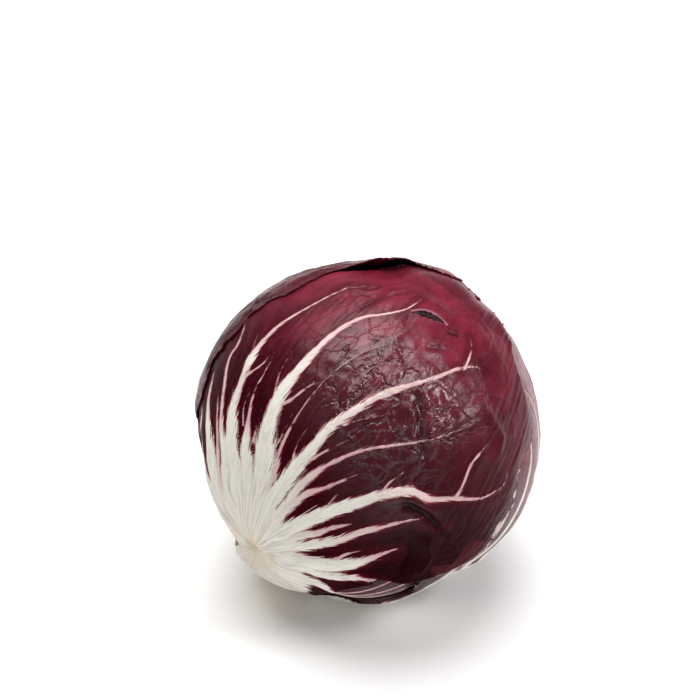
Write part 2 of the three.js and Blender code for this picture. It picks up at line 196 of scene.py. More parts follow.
def smooth(edge0, edge1, x):
    """A soft step: 0 at the first edge, 1 at the second."""
    t = np.clip((x - edge0) / (edge1 - edge0), 0, 1)
    return t * t * (3 - 2 * t)


def repeatable(seed):
    """Repeatable random numbers from 0 to 1, the same as the solid model's."""
    state = seed
    while True:
        state = state * 16807 % 2147483647
        yield state / 2147483647


def curve(points, x):
    """A smooth curve through points (x, value), level beyond its ends."""
    knots, values = np.array(points, float).T
    slopes = np.empty_like(values)
    slopes[1:-1] = (values[2:] - values[:-2]) / (knots[2:] - knots[:-2])
    slopes[0] = (values[1] - values[0]) / (knots[1] - knots[0])
    slopes[-1] = (values[-1] - values[-2]) / (knots[-1] - knots[-2])
    x = np.clip(x, knots[0], knots[-1])
    i = np.clip(np.searchsorted(knots, x, side="right") - 1, 0, len(knots) - 2)
    h = knots[i + 1] - knots[i]
    t = (x - knots[i]) / h
    return ((2 * t**3 - 3 * t**2 + 1) * values[i] + (t**3 - 2 * t**2 + t) * h * slopes[i]
            + (3 * t**2 - 2 * t**3) * values[i + 1] + (t**3 - t**2) * h * slopes[i + 1])


def direction(theta, phi):
    """A place on the head as a unit vector in the head's own axes, whose stem points along -Z."""
    theta, phi = np.broadcast_arrays(np.radians(theta), np.radians(phi))
    return np.stack([np.sin(theta) * np.cos(phi), np.sin(theta) * np.sin(phi), -np.cos(theta)], -1)


def between(a, b):
    """The angle between directions a and one direction b."""
    return np.degrees(np.arccos(np.clip(a @ b, -1, 1)))


def theta_of(d):
    return np.degrees(np.arccos(np.clip(-d[..., 2], -1, 1)))


def phi_of(d):
    return np.degrees(np.arctan2(d[..., 1], d[..., 0]))


ATTITUDE = np.array(Matrix.Rotation(np.radians(STEM_HEADING), 3, "Z")
                    @ Matrix.Rotation(np.radians(STEM_DIP - 90), 3, "Y"))
DOWN = ATTITUDE.T @ np.array([0, 0, -1.0])  # the floor's direction in the head's own axes


def clasp(d, sign):
    """Push the map outward near the stem, so that the leaf bases clasp it."""
    moved = np.maximum(theta_of(d)**4 + sign * BASE_CLEAR**4, 1e-6)**0.25
    return direction(moved, phi_of(d))


def leaf_axes(leaf):
    """The middle of a leaf, and its directions along and across."""
    theta, phi = leaf["centre"]
    return direction(theta, phi), direction(theta + 90, phi), direction(90, phi + 90)


def from_map(leaf, x, y):
    """From a leaf's flat map, x across and y along, to directions on the head."""
    middle, along, across = leaf_axes(leaf)
    reach = np.maximum(np.hypot(x, y), 1e-6)
    side = along * (y / reach)[..., None] + across * (x / reach)[..., None]
    turn = np.radians(reach)[..., None]
    return clasp(middle * np.cos(turn) + side * np.sin(turn), 1)


def to_map(leaf, direct):
    middle, along, across = leaf_axes(leaf)
    d = clasp(direct, -1)
    reach = between(d, middle)
    scale = reach / np.maximum(np.sin(np.radians(reach)), 1e-6)
    return (d @ across) * scale, (d @ along) * scale


def half_width(leaf, x, y):
    """Half width of a leaf at y, on the side of it where x is."""
    return leaf["half"] * np.where(x > 0, curve(leaf.get("right", OUTLINE), y), curve(OUTLINE, y))


def tip_edge(leaf, u):
    return leaf["tip"] - TIP_ROUND * u * u


def base_edge(leaf):
    return BASE_START - leaf["centre"][0]


def cover(leaf, d, span=STEP_DOWN):
    """How much a leaf covers a direction: 1 inside its edge and just outside it, 0 further off."""
    x, y = to_map(leaf, d)
    width = half_width(leaf, x, y)
    u = np.clip(x / width, -1, 1)
    inside = np.minimum(np.minimum(width - np.abs(x), tip_edge(leaf, u) - y), y - base_edge(leaf))
    return smooth(-span[1], -span[0], inside)


def near_stem(d):
    """How near the stem a direction is, from 0 to 1."""
    return smooth(75, 30, theta_of(d))


def thickness(d):
    return BLADE + BASE_EXTRA * near_stem(d)


def layers(d, count):
    """How thickly the first few leaves lie over the body."""
    covered = sum((cover(leaf, d) for leaf in LEAVES[:count]), np.zeros(d.shape[:-1]))
    return covered * (thickness(d) + GAP + BASE_GAP * near_stem(d))


def off_floor(d):
    """0 on the spot that rests on the floor, 1 well away from it."""
    return smooth(*FLOOR_STRIP, between(d, DOWN))


def body_radius(d):
    """Radius of the body under the leaves, pressed flat where the outermost leaf meets the floor."""
    full = np.full(d.shape[:-1], BODY_RADIUS)
    for theta, phi, reach, rise in FULLNESS:
        full += rise * np.exp(-(between(d, direction(theta, phi)) / reach)**2)
    facing = d @ DOWN
    floor = REST_HEIGHT / np.maximum(facing, 0.5) + GAP + BASE_GAP * near_stem(d) - layers(d, len(LEAVES))
    blend = np.maximum(SOFT_FLOOR - np.abs(full - floor), 0) / SOFT_FLOOR
    return np.where(facing < 0.5, full, np.minimum(full, floor) - blend * blend * SOFT_FLOOR / 4)


def to_world(points):
    """From the head's own axes in millimetres to the scene's in metres."""
    return (points @ ATTITUDE.T + np.array([0, 0, REST_HEIGHT])) / 1000


def noise(points, scale, seed):
    """Soft repeatable noise from -1 to 1: a few crossing waves of about the given length."""
    draw = np.random.default_rng(seed)
    total = np.zeros(len(points))
    waves = 9
    for _ in range(waves):
        way = draw.normal(size=points.shape[1])
        way *= 2 * np.pi / (scale * draw.uniform(0.7, 1.5) * np.linalg.norm(way))
        total += np.sin(points @ way + draw.uniform(0, TURN))
    return total * 2 / waves


def softened(points, steps=4):
    """A polyline with points added along a smooth curve through the given ones."""
    points = np.array(points, float)
    place = np.arange(len(points))
    fine = np.linspace(0, len(points) - 1, steps * (len(points) - 1) + 1)
    return np.stack([curve(np.stack([place, column], 1), fine) for column in points.T], 1)


def rib_paths(leaf):
    """A leaf's ribs and veins on its map: a list of rows (across, along, half width of the white)."""
    draw = np.random.default_rng(leaf["seed"])
    listed = {"leaf_front": FRONT_RIBS, "leaf_right": RIGHT_RIBS}.get(leaf["name"], [])
    paths = []
    for rib in listed:
        theta, phi, wide = np.array(rib, float).T
        wide = wide * np.where(theta > WHITE_FROM, WHITE_SHARE, 1)
        rib = np.stack([*to_map(leaf, direction(theta, phi)), wide], 1)
        if theta[0] < ROOTED_THETA and wide[0] > ROOTED_WIDTH:
            root = np.array([*FAN_ROOT, 1.2 * wide[0]])
            rib = np.vstack([root + 0.1 * (rib[0] - root), root + 0.6 * (rib[0] - root), rib])
        paths.append(softened(rib))
    even = [] if leaf["name"] == "leaf_front" else np.linspace(-1, 1, leaf["ribs"] + 2)[1:-1]
    for k, across in enumerate(even):
        if listed and across < -0.2:
            continue
        across = across + draw.uniform(-0.06, 0.06)
        stout = draw.uniform(*(STOUT_RIB if k % 2 == 0 else SLIM_RIB))
        stout = stout * (0.4 if leaf["name"] == "leaf_lower" else 1)
        v = np.linspace(0.1, draw.uniform(0.72, 0.95), RIB_POINTS)
        y = base_edge(leaf) + (tip_edge(leaf, across) - base_edge(leaf)) * v
        bend = draw.uniform(-3, 3) * np.sin(v * draw.uniform(4, 8) + draw.uniform(0, 6))
        x = across * (0.62 + 0.34 * smooth(0.25, 0.7, v)) * half_width(leaf, across, y) + bend * v
        bare = LOWER_BARE if leaf["name"] == "leaf_lower" else 0
        flare = leaf["half"] / leaf["ribs"] * 0.8 * np.exp(-np.maximum(y + 42 + bare, 0) / 11)
        wide = 0.12 + stout * np.linspace(1, 0, len(v))**1.2 + flare
        paths.append(softened(np.stack([x, y, wide], 1)))
    return paths + side_veins(paths, draw)


def side_veins(ribs, draw):
    """Thin veins that leave each stout rib at a sharp slant and bend towards the leaf's tip."""
    veins = []
    for rib in ribs:
        reach = np.concatenate([[0], np.cumsum(np.hypot(*np.diff(rib[:, :2], axis=0).T))])
        place = reach[-1] * 0.35 + draw.uniform(2, 6)
        side = draw.choice([-1, 1])
        while rib[0, 2] > 1.2 and place < reach[-1] * 0.95:
            start, ahead = (np.array([np.interp(at, reach, rib[:, k]) for k in (0, 1)])
                            for at in (place, place + 2))
            heading = np.arctan2(*(ahead - start)[::-1]) + side * draw.uniform(*VEIN_SLANT)
            length = draw.uniform(*VEIN_LENGTH)
            points = [start]
            for _ in range(VEIN_STEPS):
                points.append(points[-1] + length / VEIN_STEPS * np.array([np.cos(heading), np.sin(heading)]))
                heading -= side * draw.uniform(-0.04, 0.14)
            wide = np.linspace(draw.uniform(*VEIN_WIDTH), 0.04, len(points))
            veins.append(softened(np.column_stack([points, wide]), 2))
            place += draw.uniform(*VEIN_SPACING)
            side = -side if draw.uniform() < 0.8 else side
    return veins


def vein_field(x, y, paths):
    """For every point of a leaf: distance to the middle line of the nearest rib, half width of its white
    there, distance along it, and the height of the ridges."""
    reach = 14  # a rib is not felt further off
    edge = np.full(len(x), 1e9)
    away, wide, along, ridge = (np.zeros(len(x)) for _ in range(4))
    run = 0.0
    for rib in paths:
        for (ax, ay, aw), (bx, by, bw) in zip(rib[:-1], rib[1:]):
            length = np.hypot(bx - ax, by - ay)
            near = np.flatnonzero((np.abs(x - ax) < reach) & (np.abs(y - ay) < reach))
            px, py = x[near] - ax, y[near] - ay
            t = np.clip((px * (bx - ax) + py * (by - ay)) / length**2, 0, 1)
            off = np.hypot(px - t * (bx - ax), py - t * (by - ay))
            w = aw + (bw - aw) * t
            closer = off - w < edge[near]
            index = near[closer]
            edge[index], away[index], wide[index] = (off - w)[closer], off[closer], w[closer]
            along[index] = (run + t * length)[closer]
            height = (0.1 + 0.3 * np.minimum(w, 2.4)) * np.exp(-(off / (0.75 * w + 0.25))**2)
            ridge[near] = np.maximum(ridge[near], height)
            run += length
        run += 30
    return away, wide, along, ridge


def line_distance(leaf, points, x, y):
    """Share of the way along a line of (theta, phi) points, and the signed distance from it."""
    line = np.stack(to_map(leaf, direction(*np.array(points, float).T)), 1)
    share, nearest, signed = np.zeros(len(x)), np.full(len(x), 1e9), np.full(len(x), 1e9)
    for number, (a, b) in enumerate(zip(line[:-1], line[1:])):
        length = np.hypot(*(b - a))
        way = (b - a) / length
        t = ((x - a[0]) * way[0] + (y - a[1]) * way[1]) / length
        inside = np.clip(t, 0, 1) * length
        gap = np.hypot(x - a[0] - inside * way[0], y - a[1] - inside * way[1])
        closer = gap < nearest
        nearest = np.where(closer, gap, nearest)
        share = np.where(closer, (number + np.clip(t, 0, 1)) / (len(line) - 1), share)
        signed = np.where(closer, np.copysign(gap, way[0] * (y - a[1]) - way[1] * (x - a[0])), signed)
    return share, signed


def edge_shares(u, v):
    """How much each point of a leaf's grid is on its side edges, on its tip, and on the rim pressed down."""
    sides = smooth(SIDE_EDGE, 1, np.abs(u)) * smooth(*SIDES_BEGIN, v)
    tip = smooth(TIP_EDGE, 1, v)
    pressed = np.maximum(smooth(PRESSED_SIDE, 1, np.abs(u)), smooth(PRESSED_TIP, 1, v))
    return sides, tip, np.maximum(pressed, smooth(PRESSED_BASE, 0, v))


def torn_map(leaf, u, v, waves):
    """Where a leaf's grid lies on its map: points with ruffled edges, then x and y with torn ones."""
    front = leaf["name"] == "leaf_front"
    sides, tip, _ = edge_shares(u, v)
    y = base_edge(leaf) + (tip_edge(leaf, u) - base_edge(leaf)) * v
    ruffle = RUFFLE * sides * (1 + np.sin(v * RUFFLE_TURNS + np.where(u > 0, waves[0], waves[1])))
    x = u * half_width(leaf, u, y) * (1 - ruffle)
    y = y - TIP_WAVE * tip * (1 + np.sin(u * TIP_TURNS + waves[2]))
    flat = np.stack([x, y], 1)
    torn = noise(flat, TEARS, leaf["seed"] + 2)
    torn = 1 + torn + SMALL_TEAR_SHARE * noise(flat, SMALL_TEARS, leaf["seed"] + 3)
    tip_rim = smooth(TIP_RIM, 1, v)
    rim = np.maximum(smooth(SIDE_RIM, 1, np.abs(u)) * smooth(*SIDES_BEGIN, v), tip_rim)
    depth = TORN_DEPTH
    if front:
        place, reach = TORN_RIGHT
        depth = depth + TORN_RIGHT_DEPTH * np.exp(-((y - place) / reach)**2) * (u > 0)
    x = x - np.sign(u) * rim * depth * torn
    y = y - tip_rim * TIP_TORN_DEPTH * torn
    if front:
        place, half, deep = BITE
        x = x - deep * np.maximum(1 - np.abs(y - place) / half, 0) * np.maximum(u, 0)**8
    return flat, x, y


def leaf_radius(leaf, order, d, u, v, phase):
    """Radius of a leaf's inner face, and how much room there is over it for ribs and puckers, from 0 to 1."""
    free = off_floor(d)
    for other in LEAVES[order + 1:]:
        free = free * (1 - cover(other, d, STAND_OFF))
    sides, tip, pressed = edge_shares(u, v)
    wave = 0.6 + 0.4 * np.sin(v * 19 + u * 5 + phase)
    lift = LIFT_SHARE * leaf["lift"] * np.maximum(sides, tip) * wave
    drape = DRAPE + BASE_DRAPE * near_stem(d)
    if leaf["name"] == "leaf_back":
        place, reach, rise = LIFTED
        raised = np.exp(-(between(d, direction(*place)) / reach)**2)
        drape = drape * (1 - raised) - rise * raised
    radius = body_radius(d) + layers(d, order) + (lift * (1 - pressed) - drape * pressed) * free
    return radius, free * (1 - 0.8 * pressed)


def white_reach(leaf, phi):
    """How far from the stem's end the base of a leaf is white."""
    if leaf["name"] == "leaf_front":
        return curve(FRONT_WHITE, phi)
    if leaf["name"] == "leaf_lower":
        hidden = 1
    elif leaf["name"] == "leaf_right":
        hidden = smooth(135, 112, phi)
    else:
        hidden = 0
    return WHITE_BASE - HIDDEN_PURPLE * hidden + WHITE_RIPPLE * np.sin(phi / 6)


def puckered(leaf, d, flat):
    """How strongly a leaf is puckered, from 0 to 1."""
    if leaf["name"] == "leaf_front":
        strength = sum(strong * np.exp(-(between(d, direction(*place)) / reach)**2)
                       for place, reach, strong in FRONT_PUCKERS)
    else:
        strength = 0.35 + 0.35 * noise(flat, 40, leaf["seed"] + 7)
    return np.clip(strength, 0, 1)


def front_creases(leaf, x, y):
    """The front leaf's creases and folds: their relief, and painted shade along each crease, darkest at its
    bottom.
    """
    relief, crease_shade = np.zeros(len(x)), np.zeros(len(x))
    for points, depth, width in FRONT_CREASES:
        share, off = line_distance(leaf, points, x, y)
        off = np.abs(off) / width
        ends = smooth(-0.02, 0.25, share) * smooth(1.02, 0.75, share)
        shoulder = 0.6 * max(depth, 0) * np.exp(-(off - 2.2)**2)
        relief += ends * (shoulder - depth * np.exp(-off**1.2))
        crease_shade = np.maximum(crease_shade, ends * max(depth, 0) * np.exp(-(1.6 * off)**2))
    return relief, crease_shade


def front_tear(leaf, x, y):
    """How deep inside the front leaf's tear each point is, below 0 outside it."""
    share, off = line_distance(leaf, TEAR[:2], x, y)
    bulge = np.sin(np.pi * np.clip(share, 0, 1))
    inside = TEAR[2] * bulge - np.abs(off - TEAR_BEND * bulge)
    return np.where((share > 0) & (share < 1), inside, NO_TEAR)


def leaf_surface(leaf, order, u, v):
    """The outer face of a leaf, with what the material reads: a dictionary of values for each point."""
    seed = leaf["seed"]
    draw = repeatable(seed + 1)
    waves = [next(draw) * TURN for _ in range(4)]
    flat, x, y = torn_map(leaf, u, v, waves)
    d = from_map(leaf, x, y)
    radius, room = leaf_radius(leaf, order, d, u, v, waves[3])
    base_white = white_reach(leaf, phi_of(d)) - theta_of(d)
    away, wide, along, ridge = vein_field(x, y, rib_paths(leaf))
    fan = np.arctan2(x - FAN_ROOT[0], y - FAN_ROOT[1]) * FAN_REACH
    fan_reach = np.hypot(x - FAN_ROOT[0], y - FAN_ROOT[1])
    pucker = puckered(leaf, d, flat) * smooth(0, -14, base_white)
    white = smooth(-0.3, 0.8, wide - away)

    relief = ridge * (0.35 + 0.65 * smooth(-8, 8, -base_white)) + 0.2 * smooth(4, 16, base_white)
    flutes = noise(np.stack([fan, fan_reach / 5], 1), FLUTES[0], seed + 8)
    relief += FLUTES[1] * flutes * smooth(-18, 6, base_white)
    puffs = PUFFS[1] * noise(flat, PUFFS[0], seed + 4)
    puffs += SMALL_PUFFS[1] * noise(flat, SMALL_PUFFS[0], seed + 5)
    relief += puffs * pucker * (1 - 0.8 * white)
    relief += SWELLS[1] * noise(flat, SWELLS[0], seed + 6)
    relief += RIB_GRAIN[1] * noise(np.stack([away, along / 8], 1), RIB_GRAIN[0], 9)
    wrinkles = noise(np.stack([x, y / 5], 1), WRINKLES[0], seed + 9) * smooth(-10, -35, base_white)
    relief += WRINKLES[1] * wrinkles * (1 - pucker)
    # The front leaf's tear, and the painted shade along its creases; neither on the other leaves
    tear, crease_shade = np.full(len(x), NO_TEAR), np.zeros(len(x))
    if leaf["name"] == "leaf_front":
        creases, crease_shade = front_creases(leaf, x, y)
        tear = front_tear(leaf, x, y)
        relief += creases + 0.5 * np.exp(-((tear + 0.6) / 0.6)**2) - 0.8 * smooth(0, 0.6, tear)

    outer = radius + thickness(d) + np.clip(relief, *RELIEF) * room
    frayed = np.exp(-(between(d, direction(*FRAYED[:2])) / FRAYED[2])**2)
    frayed = frayed * (1 if leaf["name"] == "leaf_front" else 0.6)
    margin = np.minimum((1 - np.abs(u)) * half_width(leaf, u, y), (1 - v) * (leaf["tip"] - base_edge(leaf)))
    values = dict(away=away, wide=wide, along=along, fan=fan, fan_reach=fan_reach, base_white=base_white,
                  pucker=pucker, margin=margin, frayed=frayed, tear=tear, crease_shade=crease_shade, map_x=x, map_y=y)
    return d * outer[:, None], values


def new_piece(name, bm):
    """A new smooth-shaded object from a bmesh."""
    mesh = bpy.data.meshes.new(name)
    bm.to_mesh(mesh)
    bm.free()
    mesh.polygons.foreach_set("use_smooth", np.ones(len(mesh.polygons), bool))
    piece = bpy.data.objects.new(name, mesh)
    bpy.context.collection.objects.link(piece)
    return piece


def grid_object(name, grid):
    """A flat grid from -1 to 1, as a new object."""
    bm = bmesh.new()
    bmesh.ops.create_grid(bm, x_segments=grid[0], y_segments=grid[1], size=1)
    return new_piece(name, bm)


def read_points(mesh):
    points = np.empty(len(mesh.vertices) * 3)
    mesh.vertices.foreach_get("co", points)
    return points.reshape(-1, 3)


def write_points(mesh, points):
    mesh.vertices.foreach_set("co", np.ascontiguousarray(points, float).ravel())
    mesh.update()


def face_outward(mesh, middle):
    """Turn the faces so that they point away from the middle of the head."""
    face = mesh.polygons[len(mesh.polygons) // 2]
    if face.normal.dot(face.center - middle) < 0:
        mesh.flip_normals()


def store(mesh, name, values):
    """Keep a value for each point of a mesh, for its material to read."""
    attribute = mesh.attributes.new(name, "FLOAT", "POINT")
    attribute.data.foreach_set("value", np.ascontiguousarray(values, np.float32))


def dress(piece, node, material):
    """Give a piece its material and put it in the place of a node of the solid model."""
    piece.data.materials.append(material)
    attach(piece, "root")
    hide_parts(node)


# Materials

def linear(hexcode):
    """An sRGB hex colour as the linear values that a shader takes."""
    channels = [int(hexcode[i:i + 2], 16) / 255 for i in (1, 3, 5)]
    return [c / 12.92 if c <= 0.04045 else ((c + 0.055) / 1.055)**2.4 for c in channels] + [1.0]


def add_node(tree, kind, links=(), **settings):
    """Add a node. links: {input: number, hex colour or socket}; other keywords are its own settings."""
    node = tree.nodes.new(kind)
    for key, value in settings.items():
        setattr(node, key, value)
    for key, value in dict(links).items():
        if isinstance(value, bpy.types.NodeSocket):
            tree.links.new(value, node.inputs[key])
        else:
            node.inputs[key].default_value = linear(value) if isinstance(value, str) else value
    return node


def new_material(name):
    material = bpy.data.materials.new(name)
    material.use_nodes = True
    tree = material.node_tree
    tree.nodes.clear()
    return material, tree


MIX_FACTOR, MIX_UNDER, MIX_OVER, MIX_OUT = 0, 6, 7, 2  # the numbers of a colour Mix node's sockets
LEAF_VALUES = ["away", "wide", "along", "fan", "fan_reach", "base_white", "pucker", "margin", "frayed",
               "tear", "crease_shade", "map_x", "map_y"]
# The pucker cells, in millimetres: their size and that of the small ones, how much they are drawn out along
# the leaf, and the size and strength of the waves that bend them
PUCKER_CELL, SMALL_CELL, CELL_STRETCH = 7.143, 2.222, 0.7
CELL_WAVE, CELL_BEND = 2.857, 5.0
# What the leaf material works out, step by step: a name, an operation and its terms, which are numbers,
# values stored on the leaf or earlier steps. Lengths are millimetres.
# GRAIN: noise at (x, y), with the width and length of one grain and its detail.
# RAMP: a soft rise from 0 to 1, or to a fourth term, while its first term goes from the second to the third.
LEAF_STEPS = [
    # Streaks that leave the ribs at a sharp slant, streaks of the base, flecks, clouds and tatters
    ("slant", "MULTIPLY", "along", 0.15),
    ("off_rib", "SUBTRACT", "away", "slant"),
    ("feather", "GRAIN", "off_rib", "along", 0.42, 9.0, 3.0),
    ("spread", "GRAIN", "fan", "fan_reach", 1.1, 26.0, 3.0),
    ("fine", "GRAIN", "map_x", "map_y", 0.9, 2.6, 3.0),
    ("cloud", "GRAIN", "map_x", "map_y", 11.0, 15.0, 4.0),
    ("tatter", "GRAIN", "map_x", "map_y", 4.0, 5.0, 3.0),
    # How deep inside the white of a rib or of the base a point is, with the edge broken into streaks
    ("inside", "SUBTRACT", "wide", "away"),
    ("feather_swing", "SUBTRACT", "feather", 0.5),
    ("rib_size", "MINIMUM", "wide", 2.2),
    ("streak_reach", "MULTIPLY", "rib_size", 3.0),
    ("ragged", "MULTIPLY_ADD", "feather_swing", "streak_reach", "inside"),
    ("spread_swing", "SUBTRACT", "spread", 0.5),
    ("at_base", "MULTIPLY_ADD", "spread_swing", 16.0, "base_white"),
    ("rib_white", "RAMP", "ragged", -0.05, 0.2),
    ("base_mask", "RAMP", "at_base", 0.0, 2.5),
    ("white", "MAXIMUM", "rib_white", "base_mask"),
    # Where the purple is brighter red: in patches, and as painted light towards the tip and the left where the
    # overhead light falls; beside the ribs, in flecks and in hairs by the ribs
    ("clouded", "RAMP", "cloud", 0.3, 0.7),
    ("patches", "MULTIPLY_ADD", "clouded", 0.5, 0.5),
    ("leftward", "RAMP", "map_x", 60.0, -10.0),
    ("more_left", "MULTIPLY_ADD", "leftward", 0.5, 0.5),
    ("tipward", "RAMP", "map_y", -15.0, 50.0),
    ("painted_top_light", "MULTIPLY", "tipward", "more_left"),
    ("patches_and_top_light", "MULTIPLY", "patches", "painted_top_light"),
    ("beside_ribs", "RAMP", "ragged", -3.5, -0.3, 0.6),
    ("flecks", "RAMP", "fine", 0.5, 0.75, 0.22),
    ("at_rim", "RAMP", "ragged", -0.5, 0.0),
    ("stout", "RAMP", "wide", 0.2, 1.2),
    ("rib_rims", "MULTIPLY", "at_rim", "stout"),
    ("hair_streaks", "RAMP", "feather", 0.56, 0.7),
    ("by_rib", "RAMP", "ragged", -3.0, -0.2),
    ("hair_place", "MULTIPLY", "hair_streaks", "by_rib"),
    ("toward_base", "RAMP", "base_white", -34.0, -6.0, 0.5),
    ("hairs", "MULTIPLY", "hair_place", "toward_base"),
    # The pale parts: veins, ribs and their streaks, and the base with its own
    ("is_vein", "RAMP", "wide", 0.12, 0.35),
    ("is_rib", "RAMP", "wide", 0.45, 2.0),
    ("rib_streaks", "RAMP", "feather", 0.42, 0.68, 0.45),
    ("base_streaks", "RAMP", "spread", 0.38, 0.7, 0.75),
    ("at_root", "RAMP", "fan_reach", 18.0, 4.0),
    ("root", "MULTIPLY", "at_root", "clouded"),
    ("is_base", "RAMP", "at_base", -4.0, 6.0),
    # Painted shade in thin lines between the puckers and along the creases, the cream torn rims, and the tear's
    # rim with painted shade inside it
    ("between_cells", "RAMP", "net", 0.05, 0.0, 0.5),
    ("crack_shade", "MULTIPLY", "between_cells", "pucker"),
    ("creases", "MULTIPLY", "crease_shade", 0.8),
    ("groove_shade", "MAXIMUM", "crack_shade", "creases"),
    ("torn_off", "MULTIPLY", "tatter", 17.0),
    ("fray_reach", "MULTIPLY_ADD", "frayed", -13.5, "margin"),
    ("from_fray", "ADD", "fray_reach", "torn_off"),
    ("torn_rim", "RAMP", "from_fray", 0.5, -0.3, 0.85),
    ("tear_rim", "RAMP", "tear", -0.6, -0.3, 0.7),
    ("tear_shade", "RAMP", "tear", -0.1, 0.15),
    # Height of the bumps, gloss of the puckers, roughness and specular level
    ("cells", "RAMP", "net", 0.0, 0.09),
    ("small_cells", "RAMP", "small_net", 0.0, 0.3, 0.15),
    ("all_cells", "ADD", "cells", "small_cells"),
    ("pucker_height", "MULTIPLY", "pucker", 0.4),
    ("streak_height", "MULTIPLY", "feather", 0.2),
    ("rough_height", "MULTIPLY_ADD", "spread", 0.22, "streak_height"),
    ("height", "MULTIPLY_ADD", "all_cells", "pucker_height", "rough_height"),
    ("purple", "SUBTRACT", 1.0, "white"),
    ("gloss", "MULTIPLY", "pucker", "purple"),
    ("roughness", "MULTIPLY_ADD", "gloss", -0.15, 0.34),
    ("waxy", "RAMP", "map_y", -20.0, 40.0, 0.2),
    ("thin_wax", "ADD", "waxy", 0.02),
    ("specular", "MULTIPLY_ADD", "gloss", 0.65, "thin_wax"),
]
# The leaf's colours in coats: a name, the colour under all, and where each further colour covers it
LEAF_COATS = [
    # red: its brightest coat is partly mottling and partly painted light towards the tip and the left
    ("red", "#2a010a", [("patches_and_top_light", "#862a40"), ("beside_ribs", "#4a0619"), ("flecks", "#621428"),
                        # the near-black coat is painted shade between the puckers and along the creases
                        ("rib_rims", "#8e2240"), ("hairs", "#8e1c3c"), ("groove_shade", "#22020a")]),
    ("rib", "#7c3145", [("is_vein", "#cfa6aa"), ("is_rib", "#e4e1d8"), ("rib_streaks", "#bfb9ae")]),
    ("base", "#e6e2da", [("base_streaks", "#b6b0a6"), ("root", "#d9c9ab")]),
    ("pale", "rib", [("is_base", "base")]),
    # skin: the near-black inside the tear is painted shade
    ("skin", "red", [("white", "pale"), ("torn_rim", "#d8c4bd"), ("tear_rim", "#b4788a"),
                     ("tear_shade", "#28020a")]),
]


def add_pucker_cells(tree, read):
    """Distance from the edges of the pucker cells, large and small, as net and small_net."""
    flat = add_node(tree, "ShaderNodeCombineXYZ", {"X": read["map_x"], "Y": read["map_y"]}).outputs[0]
    place = add_node(tree, "ShaderNodeVectorMath", {0: flat, 1: (1.0, CELL_STRETCH, 1.0)},
                     operation="MULTIPLY").outputs[0]
    wave = add_node(tree, "ShaderNodeTexNoise", {"Vector": place, "Scale": 1 / CELL_WAVE, "Detail": 3.0})
    bent = add_node(tree, "ShaderNodeVectorMath",
                    {0: wave.outputs["Color"], 1: (CELL_BEND, CELL_BEND, 0.0), 2: place},
                    operation="MULTIPLY_ADD").outputs[0]
    for name, size in (("net", PUCKER_CELL), ("small_net", SMALL_CELL)):
        read[name] = add_node(tree, "ShaderNodeTexVoronoi", {"Vector": bent, "Scale": 1 / size},
                              feature="DISTANCE_TO_EDGE").outputs["Distance"]


def add_steps(tree, read):
    """Work out LEAF_STEPS from what is read, and put each into it."""
    for name, operation, *terms in LEAF_STEPS:
        terms = [read[term] if isinstance(term, str) else term for term in terms]
        if operation == "GRAIN":
            x, y, width, length, detail = terms
            flat = add_node(tree, "ShaderNodeCombineXYZ", {"X": x, "Y": y}).outputs[0]
            place = add_node(tree, "ShaderNodeVectorMath", {0: flat, 1: (1 / width, 1 / length, 1.0)},
                             operation="MULTIPLY").outputs[0]
            node = add_node(tree, "ShaderNodeTexNoise", {
                "Vector": place, "Scale": 1.0, "Detail": detail, "Roughness": 0.6})
        elif operation == "RAMP":
            sockets = zip(("Value", "From Min", "From Max", "To Max"), terms)
            node = add_node(tree, "ShaderNodeMapRange", sockets, interpolation_type="SMOOTHSTEP")
        else:
            node = add_node(tree, "ShaderNodeMath", enumerate(terms), operation=operation)
        read[name] = node.outputs[0]


def add_coats(tree, read):
    """Lay the colours of LEAF_COATS over one another, and put each result into what is read."""
    for name, colour, coats in LEAF_COATS:
        colour = read.get(colour, colour)
        for where, coat in coats:
            sockets = {MIX_FACTOR: read[where], MIX_UNDER: colour, MIX_OVER: read.get(coat, coat)}
            colour = add_node(tree, "ShaderNodeMix", sockets, data_type="RGBA").outputs[MIX_OUT]
        read[name] = colour


def leaf_skin(name):
    """Radicchio leaf: thin waxy skin, wine-red between white ribs whose edges run out in fine streaks."""
    material, tree = new_material(name)
    read = {value: add_node(tree, "ShaderNodeAttribute", attribute_name=value).outputs["Fac"]
            for value in LEAF_VALUES}
    add_pucker_cells(tree, read)
    add_steps(tree, read)
    add_coats(tree, read)
    bump = add_node(tree, "ShaderNodeBump", {"Strength": 0.6, "Distance": 0.001, "Height": read["height"]})
    skin = add_node(tree, "ShaderNodeBsdfPrincipled", {
        "Base Color": read["skin"], "Normal": bump.outputs[0], "IOR": 1.45, "Roughness": read["roughness"],
        "Specular IOR Level": read["specular"]})
    add_node(tree, "ShaderNodeOutputMaterial", {"Surface": skin.outputs[0]})
    return material


def plain_skin(name, colours, scale, roughness):
    """A matt natural surface mottled between two colours; scale: size of a mottle in millimetres."""
    material, tree = new_material(name)
    place = add_node(tree, "ShaderNodeTexCoord").outputs["Object"]
    mottle = add_node(tree, "ShaderNodeTexNoise", {"Vector": place, "Scale": 1000 / scale, "Detail": 5.0})
    blend = add_node(tree, "ShaderNodeValToRGB", {"Fac": mottle.outputs["Fac"]})
    for stop, position, colour in zip(blend.color_ramp.elements, (0.35, 0.7), colours):
        stop.position = position
        stop.color = linear(colour)
    bump = add_node(tree, "ShaderNodeBump", {
        "Strength": 0.4, "Distance": 0.0006, "Height": mottle.outputs["Fac"]})
    skin = add_node(tree, "ShaderNodeBsdfPrincipled", {
        "Base Color": blend.outputs["Color"], "Roughness": roughness, "Normal": bump.outputs[0]})
    add_node(tree, "ShaderNodeOutputMaterial", {"Surface": skin.outputs[0]})
    return material


# The pieces

BLADE_SHARE = 0.6  # the part of a blade's thickness that is drawn, clear of the leaf under it
